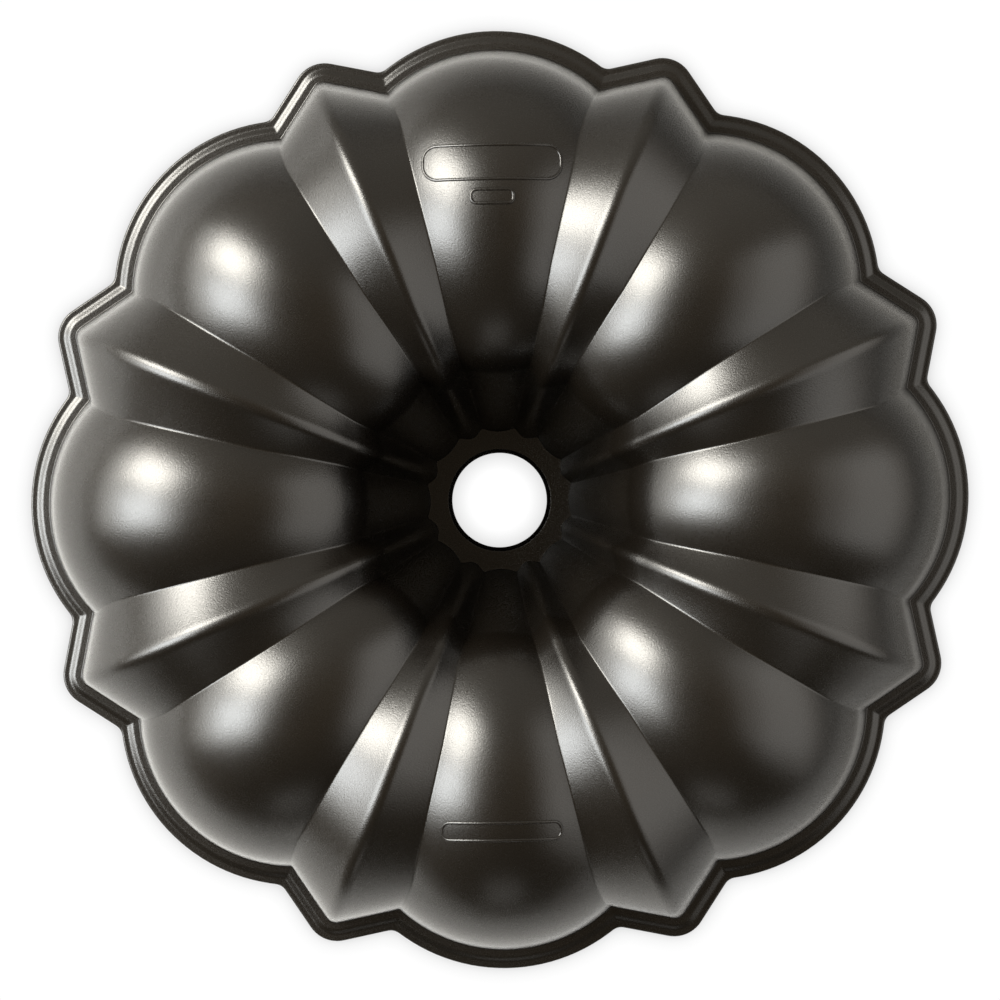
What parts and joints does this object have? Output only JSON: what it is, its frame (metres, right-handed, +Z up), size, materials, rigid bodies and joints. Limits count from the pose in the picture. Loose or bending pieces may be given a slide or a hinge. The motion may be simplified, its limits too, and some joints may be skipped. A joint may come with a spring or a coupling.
{
  "type": "bundt pan",
  "caption": "Fluted ring-cake pan standing upside down on its scalloped rim, with rounded lobes, pointed flutes and a tapered centre tube.",
  "frame": {"origin": "centre of the rim's flat face, on the axis of the centre tube", "axes": "+Z up along the tube's axis, from the rim face to the base; +X through the crest of a round lobe"},
  "size_m": [0.2664, 0.2664, 0.1073],
  "materials": {
    "casting": "as-cast satin aluminium",
    "outer_coating": "baked metallic graphite-brown non-stick coating, fine orange-peel grain, semi-gloss",
    "nonstick_lining": "baked dark grey non-stick lining, semi-gloss"
  },
  "bodies": {
    "root": {"rim_flange": "casting", "fluted_wall": "casting", "fluted_base": "casting", "centre_tube": "casting", "tube_end_ring": "casting", "outer_coating": "outer_coating", "nonstick_lining": "nonstick_lining"}
  },
  "joints": []
}
